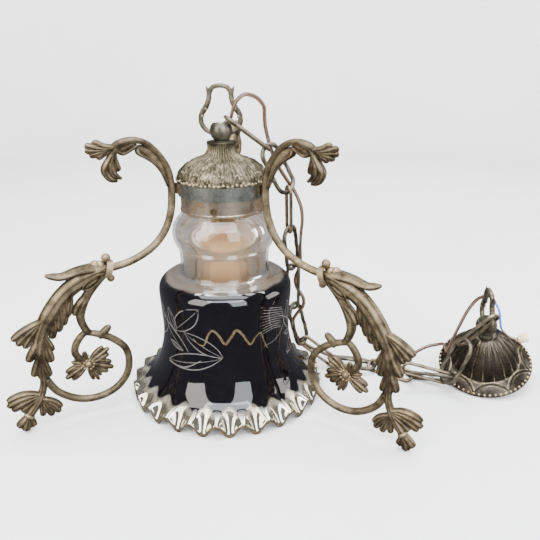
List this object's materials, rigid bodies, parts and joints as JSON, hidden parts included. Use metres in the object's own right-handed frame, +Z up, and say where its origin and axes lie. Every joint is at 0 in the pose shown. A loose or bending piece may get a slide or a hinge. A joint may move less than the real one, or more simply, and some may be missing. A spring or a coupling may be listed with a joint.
{
  "type": "hanging lamp",
  "caption": "Hanging electric lamp with a smoked mirror-glass bell shade, scrolled cast arms, a chain with woven flex and a fluted ceiling canopy.",
  "frame": {"origin": "on the lamp's axis in the plane it stands on", "axes": "+Z up along the lamp's axis; +X to the right, towards the canopy; -Y towards the viewer"},
  "size_m": [0.5527, 0.3547, 0.3312],
  "materials": {
    "cast_cap": "sand-cast antique brass with grey-green patina in the hollows",
    "band_metal": "spun brass, dull grey-green",
    "ring_metal": "spun brass, coppery and worn bright",
    "arm_metal": "sand-cast antique brass, rubbed edges",
    "lug_metal": "filed brass",
    "ball_metal": "smooth turned brass, dark pewter patina",
    "loop_metal": "cast brass, dark green patina",
    "wire_metal": "drawn brass wire, brown patina",
    "dressed_metal": "cast dressed brass, green patina",
    "bell_metal": "pressed brass, dark bronze, rubbed gold on the raised parts",
    "steel": "plated, dull",
    "holder": "dark bronze paint",
    "porcelain": "off-white porcelain",
    "contact": "bright",
    "bulb_glass": "opal glass, warm cream",
    "bulb_cap": "rolled screw thread",
    "shade_glass": "clear and amber at the neck, silvered dark mirror below, gold edge",
    "flex": "clear sheath over twin brown cores",
    "blue_sheath": "blue insulation",
    "cream_sleeve": "cream connector sleeve",
    "bare_wire": "pale stranded wire"
  },
  "bodies": {
    "lamp": {"cap": "cast_cap", "cap_band": "band_metal", "fitter_ring": "ring_metal", "threaded_tube": "steel", "tube_washer": "steel", "tube_nut": "steel", "holder_shell": "holder", "holder_core": "porcelain", "holder_contact": "contact", "arm_collars": "arm_metal", "arm_lugs": "lug_metal", "arm_rivets": "lug_metal", "upper_arm_left": "arm_metal", "upper_arm_right": "arm_metal", "upper_arm_back": "arm_metal", "lower_arm_left": "arm_metal", "lower_arm_right": "arm_metal", "lower_arm_back": "arm_metal", "flex_stem": "flex"},
    "shade": {"glass_shade": "shade_glass"},
    "bulb": {"bulb_glass": "bulb_glass", "bulb_cap": "bulb_cap", "bulb_contact": "contact"},
    "screw_1": {"set_screw_1": "lug_metal"},
    "screw_2": {"set_screw_2": "lug_metal"},
    "screw_3": {"set_screw_3": "lug_metal"},
    "hanger": {"ball_collar": "ball_metal", "hanging_loop": "loop_metal"},
    "chain_top": {"link_01": "wire_metal", "flex_arch": "flex"},
    "chain_drop": {"link_02": "dressed_metal", "link_03": "wire_metal", "link_04": "dressed_metal", "link_05": "wire_metal", "link_06": "dressed_metal", "link_07": "wire_metal", "flex_drop": "flex"},
    "chain_run": {"link_08": "dressed_metal", "link_09": "wire_metal", "link_10": "dressed_metal", "link_11": "wire_metal", "link_12": "dressed_metal", "link_13": "wire_metal", "flex_run": "flex"},
    "canopy": {"canopy_loop": "loop_metal", "canopy_ball": "ball_metal", "canopy_stem": "steel", "canopy_nut": "steel", "ceiling_strap": "steel", "strap_nuts": "steel", "terminal": "cream_sleeve", "blue_core": "blue_sheath", "bare_lead": "bare_wire", "flex_tail": "flex"},
    "bell": {"canopy_bell": "bell_metal"},
    "canopy_collar": {"canopy_collar": "ball_metal"}
  },
  "joints": [
    {"name": "hanger_turn", "type": "hinge", "parent": "lamp", "child": "hanger", "pos_m": [0, 0, 0.286], "axis": [0, 0, 1], "range_deg": [-12, 12]},
    {"name": "chain_swing", "type": "hinge", "parent": "hanger", "child": "chain_top", "pos_m": [0.017, 0, 0.291], "axis": [0, 0, 1], "range_deg": [-3, 3]},
    {"name": "chain_lift", "type": "hinge", "parent": "chain_top", "child": "chain_drop", "pos_m": [0.0456, 0.0067, 0.2693], "axis": [0, -1, 0], "range_deg": [0, 15], "deforming": ["flex_drop"]},
    {"name": "run_swing", "type": "hinge", "parent": "chain_drop", "child": "chain_run", "pos_m": [0.121, 0.043, 0.006], "axis": [0, 0, 1], "range_deg": [-6, 6], "deforming": ["flex_run"]},
    {"name": "canopy_swing", "type": "hinge", "parent": "chain_run", "child": "canopy", "pos_m": [0.285, -0.0155, 0.09], "axis": [0, 0, 1], "range_deg": [-5, 1], "deforming": ["flex_tail"]},
    {"name": "bell_turn", "type": "hinge", "parent": "canopy", "child": "bell", "pos_m": [0.297, 0.026, 0.02082], "axis": [-0.1834, -0.345, 0.9205], "continuous": true},
    {"name": "collar_turn", "type": "hinge", "parent": "canopy", "child": "canopy_collar", "pos_m": [0.297, 0.026, 0.02082], "axis": [-0.1834, -0.345, 0.9205], "continuous": true},
    {"name": "shade_drop", "type": "slide", "parent": "lamp", "child": "shade", "axis": [0, 0, 1], "range_m": [-0.02, 0]},
    {"name": "bulb_unscrew", "type": "slide", "parent": "lamp", "child": "bulb", "axis": [0, 0, 1], "range_m": [-0.022, 0]},
    {"name": "set_screw_1_slide", "type": "slide", "parent": "lamp", "child": "screw_1", "axis": [-0.0872, -0.9962, 0], "range_m": [-0.0009, 0.004]},
    {"name": "set_screw_2_slide", "type": "slide", "parent": "lamp", "child": "screw_2", "axis": [0.9063, 0.4226, 0], "range_m": [-0.0009, 0.004]},
    {"name": "set_screw_3_slide", "type": "slide", "parent": "lamp", "child": "screw_3", "axis": [-0.8192, 0.5736, 0], "range_m": [-0.0009, 0.004]}
  ]
}
